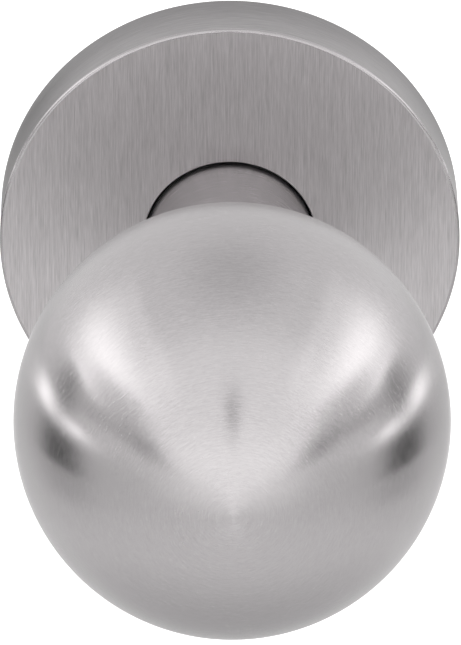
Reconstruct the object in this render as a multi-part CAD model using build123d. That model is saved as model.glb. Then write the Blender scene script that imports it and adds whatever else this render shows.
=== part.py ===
"""Ball door knob on a round rose: the outside half of a set, with its rose, return spring and spindle.

Every piece is drawn in a bench frame and turned into the part's own frame when it is written.
Bench frame: the knob's axis is Z, the door face is the plane z = 0, and heights rise away from the door
towards the hand. X is to the right and Y is up the door, seen from in front of the knob.
Part frame: the door face is the plane y = 0, the knob stands out along -Y, +Z is up and X is to the right.
All sizes are in millimetres and all angles in degrees, counted from +X towards up.
"""

import os
from math import sqrt

from build123d import *

# Driving dimensions
ball_diameter = 50.0
ball_standoff = 49.4  # rose front to ball centre
ball_wall = 1.8
neck_diameter = 20.0
neck_wall = 1.5
rose_diameter = 55.0
rose_depth = 9.0
rose_wall = 1.2
rose_edge_radius = 0.4
rose_bore_diameter = 20.7
spindle_width = 8.0
spindle_reach = 50.0  # behind the door face
lug_spacing = 38.0
lug_diameter = 7.0
lug_reach = 7.0  # behind the door face
wood_screw_circle = 40.0
wood_screw_reach = 13.0  # behind the door face
turn_each_way = 45.0

# Clearances
slip = 0.05  # radial, journal in its bush and spindle in its socket
gap = 0.1  # axial, between pieces that turn past each other
turn_margin = 1.0  # left between the driver and its stop at full turn

# Heights of the ball and neck
rose_front = rose_depth
ball_centre = rose_front + ball_standoff
ball_radius = ball_diameter / 2
ball_inner_radius = ball_radius - ball_wall
neck_radius = neck_diameter / 2
core_radius = neck_radius - neck_wall
spigot_radius = 9.2  # neck end that locates the ball
neck_seat = ball_centre - sqrt(ball_radius**2 - neck_radius**2) + 0.3
spigot_end = neck_seat + 1.0
core_end = spigot_end - 0.4

# Rose and its bearing
sub_rose_height = 7.0
sub_rose_radius = 25.4
foot_radius = 25.9
foot_height = 1.8
journal_radius = 8.0
bush_radius = 9.4
hub_radius = 11.2
hub_rear = 3.9
bush_seat = 6.0
bush_flange_radius = 11.8
bush_flange_thickness = 0.9
cavity_radius = 13.9
cavity_height = 4.9
neck_rear = bush_seat + bush_flange_thickness + gap
neck_flange_end = neck_rear + 1.4

# Stack behind the bush, from the door outwards
plate_rear = 0.1
plate_thickness = 0.8
plate_radius = 14.3
driver_rear = plate_rear + plate_thickness + 0.2
driver_thickness = 1.0
driver_radius = 11.4
core_rear = driver_rear + driver_thickness + 0.15
clip_thickness = 0.8
clip_rear = core_rear + 0.25
clip_groove_radius = 7.5
washer_thickness = 0.5

# Return spring
wire_diameter = 1.2
coil_radius = 12.4
coil_turns = 2.125
coil_rear = driver_rear + driver_thickness / 2
coil_front = cavity_height - wire_diameter / 2 - 0.05
driver_leg_angle = 90.0

# Stop that limits the turn
stop_inner_radius = 9.6
stop_span = 40.0
stop_angle = 270.0

# Rose fixings
lug_collar_radius = 3.9
lug_socket_depth = 4.5
lug_thread_radius = 1.65
wood_screw_angle = 45.0
wood_thread_radius = 1.75
wood_shank_radius = 1.5
wood_head_radius = 3.2
wood_head_height = 2.1
wood_screw_seat = 3.6
plate_screw_offset = 17.2
plate_ear_radius = 2.6
plate_screw_radius = 1.25
plate_screw_head_radius = 2.0
plate_screw_end = 4.2
snap_wire = 1.2
snap_height = 3.4

# Fixings inside the ball and the neck
anchor_stud_radius = 5.0
anchor_radius = 14.0
anchor_rear = ball_centre - 21.0
anchor_front = ball_centre - 17.4
anchor_washer_thickness = 1.2
anchor_nut_flats = 16.0
anchor_nut_height = 5.0
grub_radius = 3.0
grub_length = 5.0
grub_height = 17.0
grub_key_flats = 3.0
socket_end = 29.0
spindle_front = 28.0


def turned(outline, rounds=()):
    """Solid of revolution about the knob's axis from (radius, height) points; rounds are (corner, radius)."""
    face = make_face(Polyline(*outline, close=True))
    for corner, radius in rounds:
        vertex = face.vertices().sort_by_distance(Vector(*corner))[0]
        face = fillet(vertex, radius)
    return revolve(Plane.XZ * face, Axis.Z)


def ring(inner, outer, low, high):
    return turned([(inner, low), (outer, low), (outer, high), (inner, high)])


def post(radius, low, high, x=0.0, y=0.0):
    """Cylinder along the knob's axis between two heights."""
    return Pos(x, y, (low + high) / 2) * Cylinder(radius, high - low)


def square_bar(width, low, high):
    return Pos(0, 0, (low + high) / 2) * Box(width, width, high - low)


def sector(inner, outer, low, high, start, span):
    """Part of a ring, from the angle start, turning through span."""
    face = make_face(Polyline((inner, low), (outer, low), (outer, high), (inner, high), close=True))
    return Rot(Z=start) * revolve(Plane.XZ * face, Axis.Z, span)


def cross_recess(arm, width, low, high, x=0.0):
    """Cross-shaped screwdriver recess."""
    middle = Pos(x, 0, (low + high) / 2)
    return middle * Box(arm, width, high - low) + middle * Box(width, arm, high - low)


# Knob: the ball, its neck and what turns with them


def ball_shell(front):
    """One drawn half of the hollow ball; the halves meet on the plane through its centre."""
    side = Align.MIN if front else Align.MAX
    half = Box(ball_diameter, ball_diameter, ball_radius, align=(Align.CENTER, Align.CENTER, side))
    return Pos(0, 0, ball_centre) * ((Sphere(ball_radius) - Sphere(ball_inner_radius)) & half)


def ball_rear_shell():
    """Rear half, bored for the neck's spigot and spot-faced where the neck's shoulder seats."""
    bore = post(spigot_radius, rose_front, ball_centre)
    spot_face = post(neck_radius, rose_front, neck_seat)
    return ball_shell(front=False) - bore - spot_face


def ball_joint_ring():
    """Backing ring inside the ball that lines up the two halves for welding."""
    half_width = 2.5
    thickness = 1.0
    inner = ball_inner_radius - thickness
    band = ring(inner, ball_inner_radius, ball_centre - half_width, ball_centre + half_width)
    return band & Pos(0, 0, ball_centre) * Sphere(ball_inner_radius - slip)


def neck_sleeve():
    """Brushed tube over the core, with a shoulder and a spigot for the ball and a hole for the grub screw."""
    tube = turned(
        [
            (core_radius, neck_flange_end),
            (neck_radius, neck_flange_end),
            (neck_radius, neck_seat),
            (spigot_radius, neck_seat),
            (spigot_radius, spigot_end),
            (core_radius, spigot_end),
        ]
    )
    access = Pos(0, -neck_radius, grub_height) * Rot(X=90) * Cylinder(grub_radius + gap, neck_radius)
    return tube - access


def neck_core():
    """Turned bar: bearing journal with its clip groove, flange, square socket and the stud for the ball."""
    stud_chamfer = 0.6
    stud_end = anchor_front + anchor_washer_thickness + anchor_nut_height + 1.4
    body = turned(
        [
            (0, core_rear),
            (journal_radius, core_rear),
            (journal_radius, clip_rear),
            (clip_groove_radius, clip_rear),
            (clip_groove_radius, clip_rear + clip_thickness),
            (journal_radius, clip_rear + clip_thickness),
            (journal_radius, neck_rear),
            (neck_radius, neck_rear),
            (neck_radius, neck_flange_end),
            (core_radius, neck_flange_end),
            (core_radius, core_end),
            (anchor_stud_radius, core_end),
            (anchor_stud_radius, stud_end - stud_chamfer),
            (anchor_stud_radius - stud_chamfer, stud_end),
            (0, stud_end),
        ]
    )
    socket = square_bar(spindle_width + 2 * slip, core_rear, socket_end)
    tapped = Pos(0, -core_radius / 2, grub_height) * Rot(X=90) * Cylinder(grub_radius, core_radius)
    return body - socket - tapped


def anchor_plate():
    """Cup washer that beds on the ball's inner face and pulls the ball on to the neck."""
    disc = ring(anchor_stud_radius + gap, anchor_radius, anchor_rear, anchor_front)
    return disc & Pos(0, 0, ball_centre) * Sphere(ball_inner_radius - slip)


def anchor_washer():
    """Split spring washer under the nut."""
    washer = ring(
        anchor_stud_radius + gap, 8.5, anchor_front, anchor_front + anchor_washer_thickness
    )
    split = Pos(7, 0, anchor_front) * Rot(X=35) * Box(6, 0.7, 4)
    return washer - split


def anchor_nut():
    """Thin hex nut on the core's stud, chamfered at its corners."""
    low = anchor_front + anchor_washer_thickness
    high = low + anchor_nut_height
    hexagon = Pos(0, 0, low) * extrude(
        RegularPolygon(anchor_nut_flats / 2, 6, major_radius=False), anchor_nut_height
    )
    corner = anchor_nut_flats / 2 * 1.155
    chamfer = 0.6
    envelope = turned(
        [
            (0, low),
            (corner - chamfer, low),
            (corner, low + chamfer),
            (corner, high - chamfer),
            (corner - chamfer, high),
            (0, high),
        ]
    )
    return (hexagon & envelope) - post(anchor_stud_radius, low, high)


def spindle():
    """Square bar from the neck's socket through the door, with chamfered corners and ends."""
    corner_chamfer = 0.35
    end_chamfer = 0.8
    length = spindle_front + spindle_reach
    bar = square_bar(spindle_width, -spindle_reach, spindle_front)
    bar = chamfer(bar.edges().filter_by(Axis.Z), corner_chamfer)
    taper = Pos(0, 0, -spindle_reach) * extrude(
        Rectangle(spindle_width - 2 * end_chamfer, spindle_width - 2 * end_chamfer), length, taper=-45
    )
    return bar & taper


def spindle_grub_screw():
    """Hex-socket set screw under the neck, bearing on the spindle."""
    end_chamfer = 0.5
    socket_depth = 2.4
    screw = chamfer(Cylinder(grub_radius, grub_length).edges().filter_by(GeomType.CIRCLE), end_chamfer)
    hexagon = extrude(RegularPolygon(grub_key_flats / 2, 6, major_radius=False), socket_depth)
    key = Pos(0, 0, grub_length / 2 - socket_depth) * hexagon
    tip = spindle_width / 2
    return Pos(0, -tip - grub_length / 2, grub_height) * Rot(X=90) * (screw - key)


def retaining_ring():
    """External circlip in the journal's groove, open at the top between two eyed lugs."""
    outer = 9.1
    eye_radius = 9.6
    eye_angle = 9.0
    opening = 7.0
    high = clip_rear + clip_thickness
    clip = ring(clip_groove_radius, outer, clip_rear, high)
    for side in (-1, 1):
        eye = Rot(Z=90 + side * eye_angle) * Pos(eye_radius, 0, 0)
        clip += eye * post(1.3, clip_rear, high)
        clip -= eye * post(0.6, clip_rear, high)
    mouth = sector(clip_groove_radius - 1, eye_radius + 2, clip_rear, high, 90 - opening / 2, opening)
    return clip - mouth - post(clip_groove_radius, clip_rear, high)


def thrust_washer():
    """Thin steel washer between the circlip and the bush."""
    low = clip_rear + clip_thickness + gap / 2
    return ring(journal_radius + slip, 9.2, low, low + washer_thickness)


def spring_driver():
    """Plate on the spindle that turns the spring's free leg and meets the stop at full turn."""
    high = driver_rear + driver_thickness
    hub = post(stop_inner_radius - 0.3, driver_rear, high)
    cut_out = stop_span + 2 * (turn_each_way + turn_margin)
    wing_start = stop_angle + cut_out / 2
    wing = sector(stop_inner_radius - 1, driver_radius, driver_rear, high, wing_start, 360 - cut_out)
    notch_width = wire_diameter + 0.3
    notch_depth = 1.6
    notch = Pos(0, driver_radius, driver_rear + driver_thickness / 2) * Box(
        notch_width, 2 * notch_depth, 2 * driver_thickness
    )
    return hub + wing - notch - square_bar(spindle_width + 2 * slip, driver_rear, high)


# Rose: the fixed carrier on the door


def spring_leg_angle():
    return driver_leg_angle + 360 * coil_turns


def sub_rose():
    """Die-cast carrier: hub for the bush, cavity for the spring, stop, lug sockets and ring groove."""
    groove = snap_wire / 2 + 0.05
    groove_bottom = sub_rose_radius - 0.5
    body = turned(
        [
            (0, 0),
            (foot_radius, 0),
            (foot_radius, foot_height),
            (sub_rose_radius, foot_height),
            (sub_rose_radius, snap_height - groove),
            (groove_bottom, snap_height - groove),
            (groove_bottom, snap_height + groove),
            (sub_rose_radius, snap_height + groove),
            (sub_rose_radius, sub_rose_height),
            (0, sub_rose_height),
        ],
        rounds=[((sub_rose_radius, sub_rose_height), 0.8)],
    )
    body -= post(bush_radius, 0, sub_rose_height)
    body -= post(bush_flange_radius + 0.2, bush_seat, sub_rose_height)
    body -= post(cavity_radius, 0, hub_rear)
    body -= ring(hub_radius, cavity_radius, 0, cavity_height)
    body += sector(
        stop_inner_radius, hub_radius, driver_rear - 0.1, hub_rear, stop_angle - stop_span / 2, stop_span
    )
    body -= plate_outline(plate_radius + slip, plate_ear_radius + slip, 0, plate_rear + plate_thickness)
    for side in (-1, 1):
        body -= post(lug_collar_radius, 0, lug_socket_depth, y=side * lug_spacing / 2)
        body -= post(plate_screw_radius, 0, plate_screw_end + 0.4, x=side * plate_screw_offset)
        body -= wood_screw_hole(wood_screw_angle + 90 * (side + 1))
        body -= lightening_pocket(wood_screw_angle + 90 * side)
    return body - spring_leg_slot()


def wood_screw_hole(angle):
    """Clearance hole and counterbore for a wood screw, on its circle at an angle."""
    hole = post(wood_shank_radius + 0.4, 0, wood_screw_seat)
    counterbore = post(wood_head_radius + 0.2, wood_screw_seat, sub_rose_height)
    return Rot(Z=angle) * Pos(wood_screw_circle / 2, 0, 0) * (hole + counterbore)


def spring_leg_slot():
    """Slot in the cavity's wall that holds the spring's fixed leg."""
    width = wire_diameter + 0.2
    reach = 16.4
    low = coil_front - wire_diameter / 2 - 0.1
    slot = Box(reach - hub_radius, width, cavity_height - low, align=(Align.MIN, Align.CENTER, Align.MIN))
    return Rot(Z=spring_leg_angle()) * Pos(hub_radius, 0, low) * slot


def lightening_pocket(middle):
    """Curved pocket in the carrier's front face, centred on an angle."""
    span = 38.0
    floor = 2.6
    pocket = sector(17.6, 23.0, floor, sub_rose_height, middle - span / 2, span)
    return fillet(pocket.edges().filter_by(Axis.Z), 1.2)


def plate_outline(radius, ear_radius, low, high):
    """Disc with two ears, the shape of the spring cover plate and its seat."""
    shape = post(radius, low, high)
    for side in (-1, 1):
        shape += post(ear_radius, low, high, x=side * plate_screw_offset)
    middle = Pos(0, 0, (low + high) / 2)
    return shape + middle * Box(2 * plate_screw_offset, 2 * ear_radius, high - low)


def countersunk_screw():
    """Blank of a plate screw on the knob's axis, head towards the door."""
    head_rear = plate_rear + 0.05
    head_front = head_rear + plate_screw_head_radius - plate_screw_radius
    return turned(
        [
            (0, head_rear),
            (plate_screw_head_radius, head_rear),
            (plate_screw_radius, head_front),
            (plate_screw_radius, plate_screw_end),
            (0, plate_screw_end),
        ]
    )


def spring_cover_plate():
    """Pressed steel plate that closes the spring cavity and clears the spindle."""
    spindle_clearance_radius = 6.4
    high = plate_rear + plate_thickness
    plate = plate_outline(plate_radius, plate_ear_radius, plate_rear, high)
    plate -= post(spindle_clearance_radius, plate_rear, high)
    for side in (-1, 1):
        plate -= Pos(side * plate_screw_offset, 0, 0) * countersunk_screw()
        plate -= post(plate_screw_head_radius, 0, plate_rear + 0.05, x=side * plate_screw_offset)
    return plate


def cover_plate_screws():
    """Two small countersunk screws with cross recesses."""
    recess_end = plate_rear + 0.9
    screw = countersunk_screw() - cross_recess(2.2, 0.5, 0, recess_end)
    return pair(screw, plate_screw_offset, 0)


def pair(piece, x, y):
    """Two separate copies of a piece, on opposite sides of the knob's axis."""
    return Compound([(Pos(side * x, side * y, 0) * piece).solid() for side in (-1, 1)])


def threaded_lugs():
    """Two lugs pressed into the carrier; they locate in the door and take the other knob's M4 bolts."""
    lug_radius = lug_diameter / 2
    end_chamfer = 0.5
    lug = turned(
        [
            (lug_thread_radius, -lug_reach),
            (lug_radius - end_chamfer, -lug_reach),
            (lug_radius, -lug_reach + end_chamfer),
            (lug_radius, 0),
            (lug_collar_radius, 0),
            (lug_collar_radius, lug_socket_depth),
            (lug_thread_radius, lug_socket_depth),
        ]
    )
    return pair(lug, 0, lug_spacing / 2)


def wood_screws():
    """Two short pan-head wood screws that hold the carrier on the door, with cross recesses."""
    head_end = wood_screw_seat + wood_head_height
    thread_start = -1.0
    taper_start = 4.0 - wood_screw_reach
    screw = turned(
        [
            (0, -wood_screw_reach),
            (wood_thread_radius, taper_start),
            (wood_thread_radius, thread_start),
            (wood_shank_radius, thread_start),
            (wood_shank_radius, wood_screw_seat),
            (wood_head_radius, wood_screw_seat),
            (wood_head_radius, head_end),
            (0, head_end),
        ],
        rounds=[((wood_head_radius, head_end), 0.9)],
    )
    screw -= cross_recess(3.2, 0.8, head_end - 1.4, head_end)
    return Rot(Z=wood_screw_angle) * pair(screw, wood_screw_circle / 2, 0)


def bearing_bush():
    """Flanged nylon bush in the hub; the neck turns in it and bears on its flange."""
    return turned(
        [
            (journal_radius + slip, hub_rear),
            (bush_radius, hub_rear),
            (bush_radius, bush_seat),
            (bush_flange_radius, bush_seat),
            (bush_flange_radius, bush_seat + bush_flange_thickness),
            (journal_radius + slip, bush_seat + bush_flange_thickness),
        ],
        rounds=[((bush_flange_radius, bush_seat + bush_flange_thickness), 0.3)],
    )


def return_spring():
    """Torsion spring round the hub: one leg in the driver's notch, one in the carrier's slot."""
    wire = wire_diameter / 2
    rise = coil_front - coil_rear
    coil_line = Pos(0, 0, coil_rear) * Helix(pitch=rise / coil_turns, height=rise, radius=coil_radius)
    section = Plane(origin=coil_line @ 0, z_dir=coil_line % 0) * Circle(wire)
    coil = Rot(Z=driver_leg_angle) * sweep(section, path=coil_line, is_frenet=True)
    inner_end = driver_radius - 1.2
    outer_end = 15.8
    driver_leg = leg(wire, inner_end, coil_radius, coil_rear, driver_leg_angle)
    fixed_leg = leg(wire, coil_radius, outer_end, coil_front, spring_leg_angle())
    return coil + driver_leg + fixed_leg


def leg(wire, inner, outer, height, angle):
    """Straight radial end of the spring wire, with a ball at the bend into the coil."""
    bar = Pos((inner + outer) / 2, 0, height) * Rot(Y=90) * Cylinder(wire, outer - inner)
    return Rot(Z=angle) * (bar + Pos(coil_radius, 0, height) * Sphere(wire))


def cover_snap_ring():
    """Open wire ring in the carrier's groove that grips the rose cover."""
    opening = 14.0
    middle_radius = sub_rose_radius + 0.25
    section = Plane.XZ * Pos(middle_radius, snap_height) * Circle(snap_wire / 2)
    return Rot(Z=90 + opening / 2) * revolve(section, Axis.Z, 360 - opening)


# Cover: the visible cap of the rose, which slides forward along the neck for fitting


def rose_cover():
    """Drawn cap with softened edges and a bore that clears the neck."""
    bore_edge_radius = 0.12
    foot_edge_radius = 0.2
    inside_radius = 0.5
    radius = rose_diameter / 2
    inner = radius - rose_wall
    bore = rose_bore_diameter / 2
    front_inside = rose_front - rose_wall
    return turned(
        [
            (inner, 0),
            (radius, 0),
            (radius, rose_front),
            (bore, rose_front),
            (bore, front_inside),
            (inner, front_inside),
        ],
        rounds=[
            ((radius, rose_front), rose_edge_radius),
            ((inner, front_inside), inside_radius),
            ((bore, rose_front), bore_edge_radius),
            ((radius, 0), foot_edge_radius),
        ],
    )


def main():
    pieces = {
        "rose_cover": rose_cover(),
        "sub_rose": sub_rose(),
        "bearing_bush": bearing_bush(),
        "threaded_lugs": threaded_lugs(),
        "wood_screws": wood_screws(),
        "spring_cover_plate": spring_cover_plate(),
        "cover_plate_screws": cover_plate_screws(),
        "return_spring": return_spring(),
        "cover_snap_ring": cover_snap_ring(),
        "ball_front_shell": ball_shell(front=True),
        "ball_rear_shell": ball_rear_shell(),
        "ball_joint_ring": ball_joint_ring(),
        "neck_sleeve": neck_sleeve(),
        "neck_core": neck_core(),
        "anchor_plate": anchor_plate(),
        "anchor_washer": anchor_washer(),
        "anchor_nut": anchor_nut(),
        "spindle": spindle(),
        "spindle_grub_screw": spindle_grub_screw(),
        "retaining_ring": retaining_ring(),
        "thrust_washer": thrust_washer(),
        "spring_driver": spring_driver(),
    }
    os.makedirs("parts", exist_ok=True)
    for name, piece in pieces.items():
        export_step(Rot(X=90) * piece, f"parts/{name}.step")


main()
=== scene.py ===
"""Looks for the ball door knob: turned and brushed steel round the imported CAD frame, in a white studio.

Lengths in the piece builders and materials are in millimetres, and in the studio in metres. Heights are
distances out from the door face, towards -Y. Angles are in degrees from +X towards +Z, as in the part's
own source.
"""

from math import asin, atan, cos, degrees, hypot, pi, radians, sin, sqrt

import bpy
from mathutils import Matrix, Vector


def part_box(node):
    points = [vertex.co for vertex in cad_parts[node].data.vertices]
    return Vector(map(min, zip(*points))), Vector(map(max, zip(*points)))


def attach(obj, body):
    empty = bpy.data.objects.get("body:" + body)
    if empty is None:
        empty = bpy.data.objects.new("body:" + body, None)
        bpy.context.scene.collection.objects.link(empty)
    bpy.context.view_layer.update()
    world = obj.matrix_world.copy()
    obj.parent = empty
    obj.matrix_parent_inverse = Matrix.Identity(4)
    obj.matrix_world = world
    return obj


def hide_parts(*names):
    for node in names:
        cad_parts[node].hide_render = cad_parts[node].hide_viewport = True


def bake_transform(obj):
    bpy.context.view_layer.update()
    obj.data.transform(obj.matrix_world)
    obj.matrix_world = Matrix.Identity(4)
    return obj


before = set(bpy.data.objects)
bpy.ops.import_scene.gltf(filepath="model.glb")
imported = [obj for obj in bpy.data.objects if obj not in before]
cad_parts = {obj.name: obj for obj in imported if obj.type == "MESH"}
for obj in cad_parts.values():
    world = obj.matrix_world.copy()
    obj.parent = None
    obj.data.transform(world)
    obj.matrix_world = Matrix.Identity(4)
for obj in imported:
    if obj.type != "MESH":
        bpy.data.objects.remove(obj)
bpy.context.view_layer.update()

MM = 0.001
AXIS = (0.0, 1.0, 0.0)  # the knob's axis

# Sizes read from the CAD frame, in millimetres
ball_low, ball_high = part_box("ball_front_shell")
neck_low, neck_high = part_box("neck_sleeve")
rose_low, rose_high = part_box("rose_cover")
lug_low, lug_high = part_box("threaded_lugs")
screw_low, screw_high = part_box("wood_screws")
grub_low, grub_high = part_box("spindle_grub_screw")
spring_low, spring_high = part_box("return_spring")
ball_radius = ball_high.x / MM
ball_front = -ball_low.y / MM
ball_centre = ball_front - ball_radius
neck_radius = neck_high.x / MM
neck_rear = -neck_high.y / MM
spigot_length = 1.0
neck_seat = -neck_low.y / MM - spigot_length
rose_radius = rose_high.x / MM
rose_front = -rose_low.y / MM
lug_rear = -lug_high.y / MM
lug_front = -lug_low.y / MM
screw_tip = -screw_high.y / MM
screw_head_end = -screw_low.y / MM
grub_height = -(grub_low.y + grub_high.y) / 2 / MM
spring_rear = -spring_high.y / MM
spring_front = -spring_low.y / MM

# Sizes that the frame's boxes don't show, as in the part's own source
ball_wall = 1.8
rose_wall = 1.2
rose_edge = 0.4
rose_bore = 10.35
bore_edge = 0.12
foot_edge = 0.2
core_radius = 8.5
spigot_radius = 9.2
grub_hole_radius = 3.1
lug_offset = 19.0
screw_circle = 20.0
screw_angle = 45.0
wire_radius = 0.6
coil_radius = 12.4

FINE = 288  # facets round the large turned pieces
SMALL = 48  # facets round screws


# Meshes


def mesh_piece(name, vertices, faces):
    """New mesh object, linked to the scene."""
    mesh = bpy.data.meshes.new(name)
    mesh.from_pydata(vertices, [], faces)
    piece = bpy.data.objects.new(name, mesh)
    bpy.context.scene.collection.objects.link(piece)
    return piece


def smooth(piece):
    """Smooth shading that keeps sharp edges."""
    sharp_from = radians(32)
    piece.data.shade_smooth()
    piece.data.set_sharp_from_angle(angle=sharp_from)
    return piece


def carve(piece, cutter):
    """Takes the cutter's shape out of the piece and drops the cutter."""
    modifier = piece.modifiers.new("carve", "BOOLEAN")
    modifier.operation = "DIFFERENCE"
    modifier.solver = "EXACT"
    modifier.object = cutter
    graph = bpy.context.evaluated_depsgraph_get()
    piece.data = bpy.data.meshes.new_from_object(piece.evaluated_get(graph))
    piece.modifiers.clear()
    bpy.data.objects.remove(cutter)
    return smooth(piece)


def turned_angle(x, y):
    """Angle of a direction in degrees, counter-clockwise from +X."""
    return -degrees(Vector((1, 0)).angle_signed(Vector((x, y))))


# Turned pieces


def line_span(start, end):
    """Straight stretch of an outline, with the outward normal of a counter-clockwise outline."""
    across, up = end[0] - start[0], end[1] - start[1]
    length = hypot(across, up)
    normal = (up / length, -across / length)
    return [(start, normal), (end, normal)]


def arc_span(centre, radius, start, end, steps, hollow=False):
    """Arc of an outline between two angles in degrees; a hollow arc has its normals towards its centre."""
    points = []
    for step in range(steps + 1):
        angle = radians(start + (end - start) * step / steps)
        direction = (cos(angle), sin(angle))
        point = (centre[0] + radius * direction[0], centre[1] + radius * direction[1])
        side = -1 if hollow else 1
        points.append((point, (side * direction[0], side * direction[1])))
    return points


def outline(corners, steps):
    """Closed outline through (radius, height[, fillet]) corners, counter-clockwise."""
    shortest = 1e-6  # a straight stretch below this length is left out
    spans = []
    count = len(corners)
    ends = []
    for index in range(count):
        before, here, after = corners[index - 1], corners[index], corners[(index + 1) % count]
        here_point = Vector(here[:2])
        back = (Vector(before[:2]) - here_point).normalized()
        ahead = (Vector(after[:2]) - here_point).normalized()
        fillet = here[2] if len(here) > 2 else 0.0
        if not fillet:
            ends.append((tuple(here_point), None, tuple(here_point)))
            continue
        turn = back.angle(ahead)
        reach = fillet / sin(turn / 2) * cos(turn / 2)
        middle = here_point + (back + ahead).normalized() * fillet / sin(turn / 2)
        first = here_point + back * reach
        last = here_point + ahead * reach
        ends.append((tuple(first), middle, tuple(last)))
    for index in range(count):
        first, middle, last = ends[index]
        if middle is not None:
            from_middle = Vector(first) - middle
            sweep = from_middle.angle_signed(Vector(last) - middle)
            convex = sweep < 0
            fillet = from_middle.length
            start = turned_angle(*from_middle)
            end = start - degrees(sweep)
            spans.append(arc_span(middle, fillet, start, end, steps, hollow=not convex))
        following = ends[(index + 1) % count][0]
        if (Vector(following) - Vector(last)).length > shortest:
            spans.append(line_span(last, following))
    return spans


def turned(name, spans):
    """Mesh object turned about the knob's axis from outline spans, with exact normals."""
    rings, vertices, faces, normals = {}, [], [], []

    def ring(point):
        key = (round(point[0], 5), round(point[1], 5))
        if key not in rings:
            first = len(vertices)
            on_axis = key[0] == 0
            for facet in range(1 if on_axis else FINE):
                angle = 2 * pi * facet / FINE
                across = point[0] * MM
                vertices.append((across * cos(angle), -point[1] * MM, across * sin(angle)))
            rings[key] = (first, on_axis)
        return rings[key]

    def place(found, facet):
        first, on_axis = found
        return first if on_axis else first + facet % FINE

    for span in spans:
        for (start, start_normal), (end, end_normal) in zip(span, span[1:]):
            low, high = ring(start), ring(end)
            if low == high or (low[1] and high[1]):
                continue
            for facet in range(FINE):
                corners = [(low, facet, start_normal), (low, facet + 1, start_normal)]
                corners += [(high, facet + 1, end_normal), (high, facet, end_normal)]
                face, face_normals = [], []
                for found, step, (outward, up) in corners:
                    index = place(found, step)
                    if index in face:
                        continue
                    shown_step = step if not found[1] else facet + 0.5
                    angle = 2 * pi * shown_step / FINE
                    face.append(index)
                    face_normals.append((outward * cos(angle), -up, outward * sin(angle)))
                faces.append(face)
                normals += face_normals
    piece = mesh_piece(name, vertices, faces)
    piece.data.shade_smooth()
    piece.data.normals_split_custom_set(normals)
    return piece


def ball_front_half():
    """Front half of the ball, from the plane through its centre to the pole."""
    inner = ball_radius - ball_wall
    centre = (0, ball_centre)
    spans = [line_span((inner, ball_centre), (ball_radius, ball_centre))]
    spans.append(arc_span(centre, ball_radius, 0, 90, steps=96))
    spans.append(arc_span(centre, inner, 90, 0, steps=40, hollow=True))
    return turned("ball_front", spans)


def ball_rear_half():
    """Rear half of the ball, spot-faced and bored for the neck."""
    inner = ball_radius - ball_wall
    centre = (0, ball_centre)
    bore_depth = sqrt(inner**2 - spigot_radius**2)
    mouth_depth = sqrt(ball_radius**2 - neck_radius**2)
    bore_angle = -degrees(atan(bore_depth / spigot_radius))
    mouth_angle = -degrees(atan(mouth_depth / neck_radius))
    bore_top = (spigot_radius, ball_centre - bore_depth)
    mouth = (neck_radius, ball_centre - mouth_depth)
    spans = [arc_span(centre, ball_radius, mouth_angle, 0, steps=72)]
    spans.append(line_span((ball_radius, ball_centre), (inner, ball_centre)))
    spans.append(arc_span(centre, inner, 0, bore_angle, steps=30, hollow=True))
    spans.append(line_span(bore_top, (spigot_radius, neck_seat)))
    spans.append(line_span((spigot_radius, neck_seat), (neck_radius, neck_seat)))
    spans.append(line_span((neck_radius, neck_seat), mouth))
    return turned("ball_rear", spans)


def cover():
    """Rose cover: a drawn cap with a rounded front edge and a softened bore."""
    inner = rose_radius - rose_wall
    inside_front = rose_front - rose_wall
    inside_edge = 0.5
    corners = [
        (inner, 0),
        (rose_radius, 0, foot_edge),
        (rose_radius, rose_front, rose_edge),
        (rose_bore, rose_front, bore_edge),
        (rose_bore, inside_front),
        (inner, inside_front, inside_edge),
    ]
    return turned("cover", outline(corners, steps=16))


def neck():
    """Tube between rose and ball, with its spigot in the ball and the grub screw's hole underneath."""
    edge = 0.1
    cutter_margin = 2.0
    upright = 0.01  # largest lean of a round wall's normal towards the axis
    spigot_end = neck_seat + spigot_length
    corners = [
        (core_radius, neck_rear),
        (neck_radius, neck_rear, edge),
        (neck_radius, neck_seat),
        (spigot_radius, neck_seat),
        (spigot_radius, spigot_end, edge),
        (core_radius, spigot_end),
    ]
    piece = turned("neck", outline(corners, steps=4))
    ends = (core_radius - cutter_margin, neck_radius + cutter_margin)
    cutter = rings_mesh("grub_hole", [ring_of(grub_hole_radius, end) for end in ends])
    cutter.data.transform(Matrix.Translation((0, -grub_height * MM, 0)) @ Matrix.Rotation(pi / 2, 4, "X"))
    carve(piece, cutter)
    mesh = piece.data
    normals = [corner.vector.copy() for corner in mesh.corner_normals]
    for face in mesh.polygons:
        reach = hypot(face.center.x, face.center.z) / MM
        if abs(face.normal.y) < upright and reach > spigot_radius:
            for loop in face.loop_indices:
                point = mesh.vertices[mesh.loops[loop].vertex_index].co
                normals[loop] = Vector((point.x, 0, point.z)).normalized()
    mesh.normals_split_custom_set(normals)
    return piece


# Screws and lugs: meshes through rings of (radius, height) points, one point for each facet


def ring_of(radius, height):
    return [(radius, height)] * SMALL


def thread_ring(core, crest, pitch, height):
    """One ring of a right-hand thread: the radius swings between core and crest as the thread passes."""
    flanks = 0.8  # share of the pitch
    ring = []
    for facet in range(SMALL):
        phase = (facet / SMALL - height / pitch) % 1
        rise = max(0.0, 1 - abs(2 * phase - 1) / flanks)
        ring.append((core + (crest - core) * rise, height))
    return ring


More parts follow.
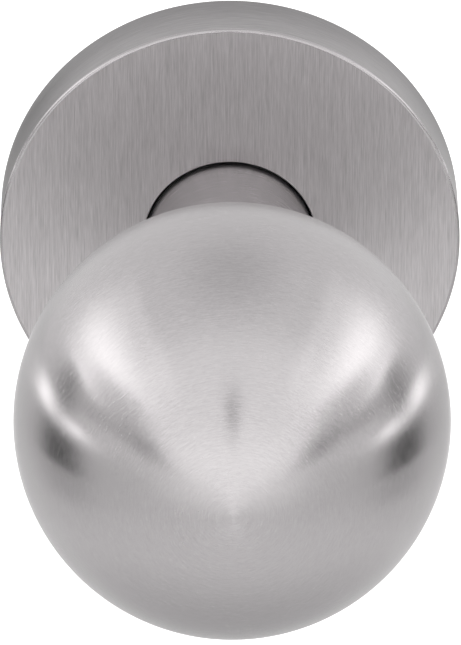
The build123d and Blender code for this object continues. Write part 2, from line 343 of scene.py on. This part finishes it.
def rings_mesh(name, rings, closed=False):
    """Mesh through rings about the knob's axis, closed on itself or capped at both ends."""
    facets = len(rings[0])
    vertices, faces = [], []
    for ring in rings:
        for facet, (radius, height) in enumerate(ring):
            angle = 2 * pi * facet / facets
            vertices.append((radius * MM * cos(angle), -height * MM, radius * MM * sin(angle)))
    count = len(rings)
    for lower in range(count if closed else count - 1):
        upper = (lower + 1) % count
        for facet in range(facets):
            following = (facet + 1) % facets
            low, high = lower * facets, upper * facets
            faces.append((low + facet, low + following, high + following, high + facet))
    if not closed:
        for ring_index, backwards in ((0, True), (count - 1, False)):
            middle = len(vertices)
            vertices.append((0, -rings[ring_index][0][1] * MM, 0))
            for facet in range(facets):
                pair = [ring_index * facets + facet, ring_index * facets + (facet + 1) % facets]
                faces.append((middle, *(reversed(pair) if backwards else pair)))
    return smooth(mesh_piece(name, vertices, faces))


def cross_cutter(arm, width, top, bottom):
    """Tapered cross for a screwdriver recess, from its mouth down to a small bottom."""
    half_arm, half_width = arm / 2, width / 2
    bottom_scale = 0.4
    quarter = [(half_arm, -half_width), (half_arm, half_width), (half_width, half_width)]
    cross = []
    for turn in range(4):
        for x, z in quarter:
            cross.append((hypot(x, z), turned_angle(x, z) + 90 * turn))
    vertices = []
    for height, scale in ((bottom, bottom_scale), (top, 1.0)):
        for radius, angle in cross:
            reach = radius * scale * MM
            vertices.append((reach * cos(radians(angle)), -height * MM, reach * sin(radians(angle))))
    count = len(cross)
    faces = [tuple(reversed(range(count))), tuple(range(count, 2 * count))]
    for corner in range(count):
        following = (corner + 1) % count
        faces.append((corner, following, count + following, count + corner))
    return mesh_piece("cross", vertices, faces)


def both_sides(piece, x, z):
    """Two copies of the piece in one mesh, moved to opposite sides of the knob's axis."""
    mesh = piece.data
    other = mesh.copy()
    mesh.transform(Matrix.Translation((x * MM, 0, z * MM)))
    other.transform(Matrix.Translation((-x * MM, 0, -z * MM)))
    twin = bpy.data.objects.new("twin", other)
    bpy.context.scene.collection.objects.link(twin)
    with bpy.context.temp_override(active_object=piece, selected_editable_objects=[piece, twin]):
        bpy.ops.object.join()
    return piece


def wood_screws():
    """Two pan-head wood screws with a cut thread, a gimlet point and a cross recess."""
    core, crest, pitch = 1.2, 1.75, 1.4
    shank = 1.5
    head, head_height, head_edge = 3.2, 2.1, 0.9
    head_steps = 6
    recess_arm, recess_width, recess_depth = 3.2, 0.8, 1.4
    thread_end, run_out = -1.0, 0.4
    taper, blunt = 4.0, 0.06  # length of the point, and how blunt its end is
    cutter_margin = 0.1
    steps_per_turn = 12
    seat = screw_head_end - head_height
    rings = []
    steps = round((thread_end - screw_tip) / pitch * steps_per_turn)
    for step in range(steps + 1):
        height = screw_tip + (thread_end - screw_tip) * step / steps
        from_tip = max(blunt, min(1.0, (height - screw_tip) / taper))
        rings.append(thread_ring(core * from_tip, crest * from_tip, pitch, height))
    rings.append(ring_of(shank, thread_end + run_out))
    rings.append(ring_of(shank, seat))
    rings.append(ring_of(head, seat))
    for step in range(head_steps + 1):
        angle = pi / 2 * step / head_steps
        across = head - head_edge * (1 - cos(angle))
        rings.append(ring_of(across, screw_head_end - head_edge * (1 - sin(angle))))
    piece = rings_mesh("wood_screw_pair", rings)
    recess_top, recess_bottom = screw_head_end + cutter_margin, screw_head_end - recess_depth
    carve(piece, cross_cutter(recess_arm, recess_width, recess_top, recess_bottom))
    angle = radians(screw_angle)
    return both_sides(piece, screw_circle * cos(angle), screw_circle * sin(angle))


def lugs():
    """Two lugs with a collar and an M4 internal thread, open towards the door."""
    minor, major, pitch = 1.65, 2.0, 0.7
    radius, collar = 3.5, 3.9
    chamfer, collar_chamfer = 0.5, 0.2
    mouth = 0.15  # countersink past the thread's major radius
    steps_per_turn = 8
    outer = [(radius - chamfer, lug_rear), (radius, lug_rear + chamfer), (radius, 0), (collar, 0)]
    outer += [(collar, lug_front - collar_chamfer), (collar - collar_chamfer, lug_front)]
    outer += [(minor, lug_front)]
    rings = [ring_of(*corner) for corner in outer]
    thread_rear = lug_rear + chamfer
    steps = round((lug_front - thread_rear) / pitch * steps_per_turn)
    for step in range(1, steps + 1):
        height = lug_front + (thread_rear - lug_front) * step / steps
        rings.append(thread_ring(minor, major, pitch, height))
    rings.append(ring_of(major + mouth, lug_rear))
    return both_sides(rings_mesh("lug_pair", rings, closed=True), 0, lug_offset)


# Spring


def spring_path():
    """Centre line of the return spring: inner leg, coil and outer leg, with a bend at each coil end."""
    inner_end, outer_end = 10.2, 15.8
    bend, bend_steps = 1.0, 8
    start_angle, turns = 90.0, 2.125
    coil_steps = 150
    level_share = 0.02  # share of the coil that stays level at each end
    rear, front = spring_rear + wire_radius, spring_front - wire_radius
    end_angle = start_angle + 360 * turns
    points = []

    def add(radius, angle, height):
        points.append(Vector((radius * cos(radians(angle)), -height, radius * sin(radians(angle)))) * MM)

    def add_bend(side, angle, height):
        """Quarter bend between a leg and the coil; side is -1 for the inner leg, 1 for the outer."""
        to_centre = coil_radius + side * bend
        offset = degrees(asin(bend / to_centre))
        along = sqrt(to_centre**2 - bend**2)
        for step in range(bend_steps + 1):
            share = step / bend_steps
            turn = radians((90 - offset) * (share if side < 0 else 1 - share))
            out = along - side * bend * sin(turn)
            across = -side * bend * (1 - cos(turn))
            point_angle = angle + degrees(atan(across / out))
            add(hypot(out, across), point_angle, height)
        return offset

    add(inner_end, start_angle, rear)
    first = add_bend(-1, start_angle, rear)
    coil_start = start_angle + first
    coil_end = end_angle - degrees(asin(bend / (coil_radius + bend)))
    for step in range(1, coil_steps):
        share = step / coil_steps
        climb = (share - level_share) / (1 - 2 * level_share)
        height = rear + (front - rear) * min(1, max(0, climb))
        add(coil_radius, coil_start + (coil_end - coil_start) * share, height)
    add_bend(1, end_angle, front)
    add(outer_end, end_angle, front)
    return points


def spring():
    """Round wire along the spring's centre line, cut square at both ends."""
    sides = 20
    path = spring_path()
    vertices, faces = [], []
    up = Vector(AXIS)
    last = len(path) - 1
    for index, point in enumerate(path):
        ahead = (path[min(index + 1, last)] - path[max(index - 1, 0)]).normalized()
        across = ahead.cross(up).normalized()
        level = across.cross(ahead)
        for side in range(sides):
            angle = 2 * pi * side / sides
            vertices.append(point + (across * cos(angle) + level * sin(angle)) * wire_radius * MM)
    for index in range(last):
        for side in range(sides):
            following = (side + 1) % sides
            low, high = index * sides, (index + 1) * sides
            faces.append((low + side, high + side, high + following, low + following))
    faces.append(tuple(range(sides)))
    faces.append(tuple(last * sides + side for side in reversed(range(sides))))
    return smooth(mesh_piece("torsion_spring", vertices, faces))


# Materials

STEEL_DARK = (0.385, 0.369, 0.374)
STEEL_LIGHT = (0.500, 0.480, 0.486)


class Nodes:
    """Short hand for building a material's node tree."""

    def __init__(self, name):
        self.material = bpy.data.materials.new(name)
        self.material.use_nodes = True
        self.tree = self.material.node_tree
        self.shader = self.tree.nodes["Principled BSDF"]

    def add(self, kind, **settings):
        node = self.tree.nodes.new("ShaderNode" + kind)
        for key, value in settings.items():
            setattr(node, key, value)
        return node

    def link(self, source, target):
        self.tree.links.new(source, target)

    def feed(self, socket, value):
        """Links a socket, or sets a number, vector or colour."""
        if value is None:
            return
        if isinstance(value, bpy.types.NodeSocket):
            self.link(value, socket)
        elif socket.type == "RGBA":
            socket.default_value = (*value, 1)
        else:
            socket.default_value = value

    def math(self, operation, first, second=None):
        node = self.add("Math", operation=operation)
        for socket, value in zip(node.inputs, (first, second)):
            self.feed(socket, value)
        return node.outputs[0]

    def plus(self, first, second):
        return self.math("ADD", first, second)

    def times(self, first, second):
        return self.math("MULTIPLY", first, second)

    def vector(self, operation, first, second=None):
        node = self.add("VectorMath", operation=operation)
        for socket, value in zip(node.inputs, (first, second)):
            self.feed(socket, value)
        return node.outputs["Value" if operation in ("DOT_PRODUCT", "LENGTH") else "Vector"]

    def place(self):
        """Position in the piece's own frame, which is the row frame at rest, in millimetres."""
        metres = self.add("TexCoord").outputs["Object"]
        return self.vector("DIVIDE", metres, (MM, MM, MM))

    def parts(self, vector):
        node = self.add("SeparateXYZ")
        self.link(vector, node.inputs[0])
        return node.outputs

    def join(self, x, y, z):
        node = self.add("CombineXYZ")
        for socket, value in zip(node.inputs, (x, y, z)):
            self.feed(socket, value)
        return node.outputs[0]

    def noise(self, vector):
        node = self.add("TexNoise")
        self.link(vector, node.inputs["Vector"])
        for key, number in (("Scale", 1.0), ("Detail", 2.0), ("Roughness", 0.5)):
            node.inputs[key].default_value = number
        return node.outputs["Fac"]

    def stretched_noise(self, place, per_mm):
        """Noise with so many features per millimetre along x, y and z."""
        return self.noise(self.vector("MULTIPLY", place, per_mm))

    def two_noises(self, place, coarse, fine, fine_share):
        """Mix of a coarse and a fine noise, each with its features per millimetre."""
        low, high = self.stretched_noise(place, coarse), self.stretched_noise(place, fine)
        return self.plus(self.times(low, 1 - fine_share), self.times(high, fine_share))

    def remap(self, interpolation, *numbers):
        """Maps a value from one range on to another: value, from low, from high, to low, to high."""
        node = self.add("MapRange", interpolation_type=interpolation)
        for key, number in zip(("Value", "From Min", "From Max", "To Min", "To Max"), numbers):
            self.feed(node.inputs[key], number)
        return node.outputs["Result"]

    def ramp(self, value, low, high, to_low=0.0, to_high=1.0):
        return self.remap("SMOOTHSTEP", value, low, high, to_low, to_high)

    def spread(self, noise, low, high):
        """Maps a noise value, which lies mostly between 0.3 and 0.7, on to low to high."""
        return self.remap("LINEAR", noise, 0.3, 0.7, low, high)

    def blend(self, share, first, second):
        node = self.add("Mix", data_type="RGBA")
        for socket, value in zip((node.inputs[0], node.inputs[6], node.inputs[7]), (share, first, second)):
            self.feed(socket, value)
        return node.outputs[2]

    def bump(self, height, distance):
        node = self.add("Bump")
        node.inputs["Distance"].default_value = distance * MM
        self.link(height, node.inputs["Height"])
        return node.outputs["Normal"]

    def edges(self, width):
        """0 on open ground, rising to 1 on sharp outer or inner edges."""
        bevel = self.add("Bevel", samples=4)
        bevel.inputs["Radius"].default_value = width * MM
        normal = self.add("NewGeometry").outputs["Normal"]
        return self.ramp(self.vector("DOT_PRODUCT", bevel.outputs["Normal"], normal), 1.0, 0.9)

    def crevices(self, reach):
        """0 in the open, rising to 1 in corners and pockets."""
        node = self.add("AmbientOcclusion", samples=4)
        node.inputs["Distance"].default_value = reach * MM
        return self.math("SUBTRACT", 1.0, node.outputs["AO"])

    def polar(self):
        """Unit vector round the knob's axis, distance from that axis, and y."""
        x, y, z = self.parts(self.place())
        flat = self.join(x, 0.0, z)
        return self.vector("NORMALIZE", flat), self.vector("LENGTH", flat), y


def across_grooves(nodes):
    """Tangent for turned brushing: the highlight spreads across the grooves, along the meridian."""
    normal = nodes.add("NewGeometry").outputs["Normal"]
    round_axis = nodes.vector("CROSS_PRODUCT", normal, AXIS)
    return nodes.vector("CROSS_PRODUCT", round_axis, normal)


def sideways(nodes):
    return nodes.join(1.0, 0.0, 0.0)


def ring_grain(nodes, along, lines, arcs):
    """Broken rings round the axis: so many lines per mm of one measure, and arcs per mm round the axis."""
    x, _, z = nodes.parts(nodes.place())
    coarse = (arcs, lines, arcs)
    fine = (3 * arcs, 1.7 * lines, 3 * arcs)
    return nodes.two_noises(nodes.join(x, along, z), coarse, fine, 0.5)


def ball_grain(nodes):
    """Rings round the pole of the ball, measured along its surface."""
    _, reach, y = nodes.polar()
    away = nodes.times(nodes.plus(y, ball_centre), -1.0)
    along = nodes.times(nodes.math("ARCTAN2", reach, away), ball_radius)
    return ring_grain(nodes, along, 7.0, 0.8)


def turned_grain(nodes):
    """Rings along a cylinder's length."""
    _, _, y = nodes.polar()
    return ring_grain(nodes, y, 6.0, 0.2)


def upright_grain(nodes):
    """Straight brushing up and down."""
    return nodes.two_noises(nodes.place(), (7.0, 0.2, 0.15), (12.0, 0.2, 0.5), 0.5)


def rolled_grain(nodes):
    """Faint lines across sheet steel, over a cloudy plating."""
    return nodes.two_noises(nodes.place(), (0.25, 0.3, 0.25), (0.3, 5.0, 6.0), 0.5)


def drawn_grain(nodes):
    """Lines along the length of a drawn bar."""
    return nodes.two_noises(nodes.place(), (0.6, 0.1, 0.6), (6.0, 0.12, 6.0), 0.6)


def wire_grain(nodes):
    """Lines along wire that runs round the axis."""
    lines, arcs = 6.0, 2.0  # lines per mm, and breaks in them for each radian or so
    side, reach, y = nodes.polar()
    side_x, _, side_z = nodes.parts(side)
    outward = nodes.plus(nodes.times(reach, lines), side_x)
    return nodes.noise(nodes.join(outward, nodes.times(y, lines), nodes.times(side_z, arcs)))


def cast_grain(nodes):
    """Orange peel of a die casting over a fine grain."""
    return nodes.two_noises(nodes.place(), (0.7, 0.7, 0.7), (5.0, 5.0, 5.0), 0.4)


def satin(name, grain, tangent, roughness, anisotropy, contrast, relief, painted_light_scale=1.0, worn=True, painted_door_shade=1.0):
    """Brushed stainless steel, with lines that vary in colour, gloss and height.

    The colour is multiplied by a brightness for each look of the steel, which paints in the light or shade
    that surface gets, and at the foot of the rose, next to the door, by a further factor that paints shade
    there. Worn steel has edges polished by use.
    """
    line_swing, cloud_swing = 0.03, 0.012  # in roughness
    clouds = (0.08, 0.08, 0.08)  # per mm each way
    edge_width, edge_share, edge_bright, edge_polish = 0.15, 0.35, 1.35, 0.05
    nodes = Nodes(name)
    lines = grain(nodes)
    shader = nodes.shader
    shader.inputs["Metallic"].default_value = 1.0
    shader.inputs["Anisotropic"].default_value = anisotropy
    middle = [(dark + light) / 2 for dark, light in zip(STEEL_DARK, STEEL_LIGHT)]
    # Each look's brightness scales both colours: painted light or shade for that surface.
    dark = [painted_light_scale * (m + contrast * (d - m)) for m, d in zip(middle, STEEL_DARK)]
    light = [painted_light_scale * (m + contrast * (b - m)) for m, b in zip(middle, STEEL_LIGHT)]
    colour = nodes.blend(nodes.spread(lines, 0.0, 1.0), dark, light)
    if painted_door_shade != 1.0:
        # Painted shade: the colour darkens towards the door.
        _, _, y = nodes.polar()
        door_shade_share = nodes.ramp(y, -rose_front, 0.0)
        colour = nodes.blend(door_shade_share, colour, nodes.vector("MULTIPLY", colour, (painted_door_shade, painted_door_shade, painted_door_shade)))
    cloud = nodes.stretched_noise(nodes.place(), clouds)
    handled = nodes.spread(cloud, -cloud_swing, cloud_swing)
    rough = nodes.plus(nodes.spread(lines, roughness - line_swing, roughness + line_swing), handled)
    if worn:
        edge = nodes.edges(edge_width)
        polished = [edge_bright * part for part in STEEL_LIGHT]
        colour = nodes.blend(nodes.times(edge, edge_share), colour, polished)
        rough = nodes.math("SUBTRACT", rough, nodes.times(edge, edge_polish))
    nodes.link(colour, shader.inputs["Base Color"])
    nodes.link(rough, shader.inputs["Roughness"])
    nodes.link(nodes.bump(lines, relief), shader.inputs["Normal"])
    nodes.feed(shader.inputs["Tangent"], tangent(nodes))
    return nodes.material


def metal(name, grain, colours, roughness, relief, metallic=1.0):
    """Plain working metal: grain in colour, gloss and height, bright worn edges, and duller corners darkened
    by painted shade from ambient occlusion.

    The colours are those of the grain's dark and light lines and of the worn edges.
    """
    line_swing = 0.06  # in roughness
    edge_width, edge_share, edge_polish = 0.12, 0.7, 0.1
    corner_reach, corner_share, painted_corner_shade, corner_dull = 2.0, 0.5, 0.35, 0.2
    dark, light, worn = colours
    nodes = Nodes(name)
    lines = grain(nodes)
    shader = nodes.shader
    shader.inputs["Metallic"].default_value = metallic
    edge = nodes.times(nodes.edges(edge_width), edge_share)
    corner = nodes.times(nodes.crevices(corner_reach), corner_share)
    colour = nodes.blend(nodes.spread(lines, 0.0, 1.0), dark, light)
    # Painted shade: corners darkened by the ambient occlusion mask.
    colour = nodes.blend(corner, colour, [painted_corner_shade * part for part in dark])
    colour = nodes.blend(edge, colour, worn)
    rough = nodes.spread(lines, roughness - line_swing, roughness + line_swing)
    rough = nodes.plus(rough, nodes.times(corner, corner_dull))
    rough = nodes.math("SUBTRACT", rough, nodes.times(edge, edge_polish))
    nodes.link(colour, shader.inputs["Base Color"])
    nodes.link(rough, shader.inputs["Roughness"])
    nodes.link(nodes.bump(lines, relief), shader.inputs["Normal"])
    return nodes.material


# Name, grain, tangent, roughness, anisotropy, contrast and relief
# The brightness given to each look paints in the light or shade on that surface; the foot factor paints shade
# next to the door.
satin_ball = satin("satin_ball", ball_grain, across_grooves, 0.245, 0.83, 0.75, 0.0009, worn=False)
satin_neck = satin("satin_neck", turned_grain, across_grooves, 0.25, 0.8, 1.4, 0.006, painted_light_scale=0.97)
satin_wall = satin("satin_wall", turned_grain, across_grooves, 0.32, 0.7, 1.5, 0.008, painted_light_scale=0.72, painted_door_shade=0.7)
satin_edge = satin("satin_edge", turned_grain, across_grooves, 0.26, 0.4, 0.8, 0.008, painted_light_scale=0.9)
satin_face = satin("satin_face", upright_grain, sideways, 0.45, 0.82, 1.7, 0.005, painted_light_scale=1.17)

# Dark lines, light lines and worn edges
ZINC_PLATE = (0.34, 0.36, 0.38), (0.50, 0.51, 0.52), (0.74, 0.74, 0.74)
ZINC_ALLOY = (0.22, 0.23, 0.24), (0.34, 0.35, 0.36), (0.60, 0.60, 0.61)
SPRING_STEEL = (0.13, 0.12, 0.11), (0.24, 0.23, 0.21), (0.42, 0.41, 0.40)
BLACK_OXIDE = (0.015, 0.015, 0.018), (0.035, 0.035, 0.04), (0.25, 0.25, 0.25)
NYLON = (0.008, 0.008, 0.008), (0.018, 0.018, 0.018), (0.04, 0.04, 0.04)

# Name, grain, colours, roughness and relief
plated = metal("zinc_plated", rolled_grain, ZINC_PLATE, 0.36, 0.006)
plated_bar = metal("zinc_plated_bar", drawn_grain, ZINC_PLATE, 0.34, 0.008)
plated_turned = metal("zinc_plated_turned", turned_grain, ZINC_PLATE, 0.32, 0.006)
cast_zinc = metal("cast_zinc", cast_grain, ZINC_ALLOY, 0.55, 0.03)
spring_wire = metal("spring_wire", wire_grain, SPRING_STEEL, 0.38, 0.008)
black_oxide = metal("black_oxide", rolled_grain, BLACK_OXIDE, 0.42, 0.006)
black_nylon = metal("black_nylon", cast_grain, NYLON, 0.55, 0.01, metallic=0.0)


# Pieces in place of CAD nodes


def wear(piece, *materials):
    piece.data.materials.clear()
    for material in materials:
        piece.data.materials.append(material)


def settle(piece, body, slot, node, *materials):
    """Puts a finished piece in place of a CAD node: its looks and the body, if any, it rides on. The slot is
    not used.
    """
    wear(piece, *materials)
    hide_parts(node)
    if body:
        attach(piece, body)


settle(ball_front_half(), "knob", "satin_stainless", "ball_front_shell", satin_ball)
settle(ball_rear_half(), "knob", "satin_stainless", "ball_rear_shell", satin_ball)
settle(neck(), "knob", "satin_stainless", "neck_sleeve", satin_neck)
settle(wood_screws(), "rose", "plated_steel", "wood_screws", plated_turned)
settle(lugs(), "rose", "plated_steel", "threaded_lugs", plated_turned)


def dress_cover(piece):
    """Wall look on the upright walls and the foot, face look on the flat faces, edge look between them."""
    upright, flat = 0.02, 0.999  # how far the face's normal leans towards the axis
    face_look, wall_look, edge_look = range(3)
    for face in piece.data.polygons:
        lean = abs(face.normal.y)
        at_foot = face.center.y > -2 * foot_edge * MM
        if at_foot or lean < upright:
            face.material_index = wall_look
        elif lean > flat:
            face.material_index = face_look
        else:
            face.material_index = edge_look


cap = cover()
settle(cap, "cover", "satin_stainless", "rose_cover", satin_face, satin_wall, satin_edge)
dress_cover(cap)

coil = spring()
settle(coil, None, "spring_steel", "return_spring", spring_wire)
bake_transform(coil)

CAD_LOOKS = {
    cast_zinc: ["sub_rose"],
    black_nylon: ["bearing_bush"],
    plated: ["spring_cover_plate", "cover_plate_screws", "spring_driver", "ball_joint_ring", "anchor_nut"],
    plated_turned: ["neck_core", "anchor_plate", "thrust_washer"],
    plated_bar: ["spindle"],
    spring_wire: ["cover_snap_ring", "retaining_ring", "anchor_washer"],
    black_oxide: ["spindle_grub_screw"],
}
for material, nodes_in_it in CAD_LOOKS.items():
    for node in nodes_in_it:
        wear(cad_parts[node], material)


# Studio


def hang(piece, nodes, share, dark):
    """Makes the piece a clear sheet that adds so much light or, if dark, hides that share of what is behind.

    The camera doesn't see it and it casts no shadow.
    """
    clear = nodes.add("BsdfTransparent")
    glow = nodes.add("Emission")
    if dark:
        glow.inputs["Strength"].default_value = 0.0
        both = nodes.add("MixShader")
        nodes.link(share, both.inputs[0])
        inputs = both.inputs[1:]
    else:
        nodes.link(share, glow.inputs["Strength"])
        both = nodes.add("AddShader")
        inputs = both.inputs
    nodes.link(clear.outputs[0], inputs[0])
    nodes.link(glow.outputs[0], inputs[1])
    nodes.link(both.outputs[0], nodes.tree.nodes["Material Output"].inputs["Surface"])
    piece.visible_camera = False
    piece.visible_shadow = False
    wear(piece, nodes.material)


def card(name, azimuth, elevation, width, height, strength, soft=0.5, dark=False):
    """Soft-edged card facing the ball, sized in degrees; it adds light or, if dark, shades what is behind.

    Azimuths run from the front, -Y, towards +X. Soft is the share of the card that fades out at its edges.
    """
    distance = 1.4 if dark else 1.5
    turn, rise = radians(azimuth), radians(elevation)
    toward = Vector((sin(turn) * cos(rise), -cos(turn) * cos(rise), sin(rise)))
    half_width = distance * radians(width) / 2
    half_height = distance * radians(height) / 2
    corners = [(-half_width, -half_height, 0), (half_width, -half_height, 0)]
    corners += [(half_width, half_height, 0), (-half_width, half_height, 0)]
    piece = mesh_piece(name, corners, [(0, 1, 2, 3)])
    piece.rotation_mode = "QUATERNION"
    piece.rotation_quaternion = toward.to_track_quat("Z", "Y")
    piece.location = Vector((0, -ball_centre * MM, 0)) + toward * distance
    nodes = Nodes(name)
    x, y, _ = nodes.parts(nodes.add("TexCoord").outputs["Object"])
    share = strength
    for across, half in ((x, half_width), (y, half_height)):
        inside = nodes.ramp(nodes.math("ABSOLUTE", across), half * (1 - soft), half, 1.0, 0.0)
        share = nodes.times(inside, share)
    hang(piece, nodes, share, dark)


def studio():
    """White tent with a broad front light, a bright bank each side, and dark gaps between the banks."""
    world = bpy.data.worlds.new("tent")
    bpy.context.scene.world = world
    world.use_nodes = True
    background = world.node_tree.nodes["Background"]
    background.inputs["Color"].default_value = (1, 1, 1, 1)
    background.inputs["Strength"].default_value = 1.07
    # Name, azimuth, elevation, width, height and strength
    card("front", 0, 37, 151, 103, 0.35, soft=0.5)
    card("front_low", 0, -5, 134, 60, 0.7, soft=0.95)
    card("lens", 0, 30, 8, 15, 1, soft=0.4, dark=True)
    card("pole_low", 0, -16, 8, 6, 2, soft=0.9)
    card("top_seam", 180, 70, 62, 78, 0.25, soft=0.95, dark=True)
    for side in (-1, 1):
        card("side", side * 88, 25, 109, 45, 1.15, soft=0.95)
        card("side_in", side * 85, 38, 93, 34, 0.3, soft=0.3)
        card("side_mid", side * 92, 15, 50, 6, 1.1, soft=0.85)
        card("gap", side * 89, -3, 11, 5, 3.45, soft=0.45)
        card("gap_far", side * 117, -4, 17, 7, 2.75, soft=0.35)
        card("flag", side * 102, 6, 16, 20, 1, soft=0.25, dark=True)
        card("flag_low", side * 99, -14, 31, 14, 1, soft=0.25, dark=True)
        card("front_flag", side * 44, 5, 16, 11, 0.85, soft=0.4, dark=True)
        card("mid_flag", side * 70, 16, 40, 23, 0.45, soft=0.2, dark=True)
        card("low_side", side * 98, -22, 47, 27, 0.3, soft=0.7, dark=True)


def rear_shade():
    """Dark arc close behind the rose, in millimetres, for the left side of the rose's wall to reflect: a
    painted shadow on the door beside the rose.
    """
    inner, outer, behind = rose_radius + 0.7, rose_radius + 6.5, 0.5
    start, end, steps = 105, 205, 40
    full_below, none_above = 12.0, 30.0
    strength = 0.5
    vertices, faces = [], []
    for step in range(steps + 1):
        angle = radians(start + (end - start) * step / steps)
        for radius in (inner, outer):
            vertices.append((radius * MM * cos(angle), behind * MM, radius * MM * sin(angle)))
    for step in range(steps):
        first = 2 * step
        faces.append((first, first + 1, first + 3, first + 2))
    nodes = Nodes("rear_shade")
    _, _, z = nodes.parts(nodes.place())
    share = nodes.ramp(z, full_below, none_above, strength, 0.0)
    hang(mesh_piece("rear_shade", vertices, faces), nodes, share, dark=True)


def floor():
    """Pale floor, a little shaded under the knob, with a glow where the camera looks past the knob."""
    half = 15.0
    height = -1.1
    glow_centre, glow_inside, glow_outside, glow_strength = (0, 2.3, height), 0.5, 1.0, 0.6
    shade_centre, shade_inside, shade_outside = (0, 0.25, height), 0.1, 1.1
    pale, shaded = (0.81, 0.81, 0.81), (0.55, 0.55, 0.55)
    corners = [(-half, -half, height), (half, -half, height), (half, half, height), (-half, half, height)]
    piece = mesh_piece("floor", corners, [(0, 1, 2, 3)])
    nodes = Nodes("floor")
    shader = nodes.shader
    shader.inputs["Roughness"].default_value = 0.9
    shader.inputs["Emission Color"].default_value = (1, 1, 1, 1)
    place = nodes.add("TexCoord").outputs["Object"]

    def distance_from(centre):
        return nodes.vector("LENGTH", nodes.vector("SUBTRACT", place, centre))

    glow = nodes.ramp(distance_from(glow_centre), glow_inside, glow_outside, glow_strength, 0.0)
    nodes.link(glow, shader.inputs["Emission Strength"])
    open_floor = nodes.ramp(distance_from(shade_centre), shade_inside, shade_outside)
    nodes.link(nodes.blend(open_floor, shaded, pale), shader.inputs["Base Color"])
    wear(piece, nodes.material)


def camera():
    """Long lens looking down at the rose from 1 m away, with the rose a little above the middle."""
    distance = 1.0
    elevation, azimuth = radians(24.5), radians(-0.3)
    rose_above_middle, rose_left_of_middle = radians(0.55472), radians(0.004794)
    pitch = elevation + rose_above_middle
    yaw = azimuth - rose_left_of_middle
    data = bpy.data.cameras.new("camera")
    data.sensor_width = 36.0
    data.lens = 466.94
    piece = bpy.data.objects.new("camera", data)
    bpy.context.scene.collection.objects.link(piece)
    level_back_off = Vector((0, -distance * cos(elevation), distance * sin(elevation)))
    back_off = Matrix.Rotation(azimuth, 4, "Z") @ level_back_off
    aim = Matrix.Rotation(yaw, 4, "Z") @ Matrix.Rotation(pi / 2 - pitch, 4, "X")
    piece.matrix_world = Matrix.Translation(Vector((0, -rose_front * MM, 0)) + back_off) @ aim
    bpy.context.scene.camera = piece


studio()
rear_shade()
floor()
camera()
bpy.context.scene.view_settings.view_transform = "Standard"
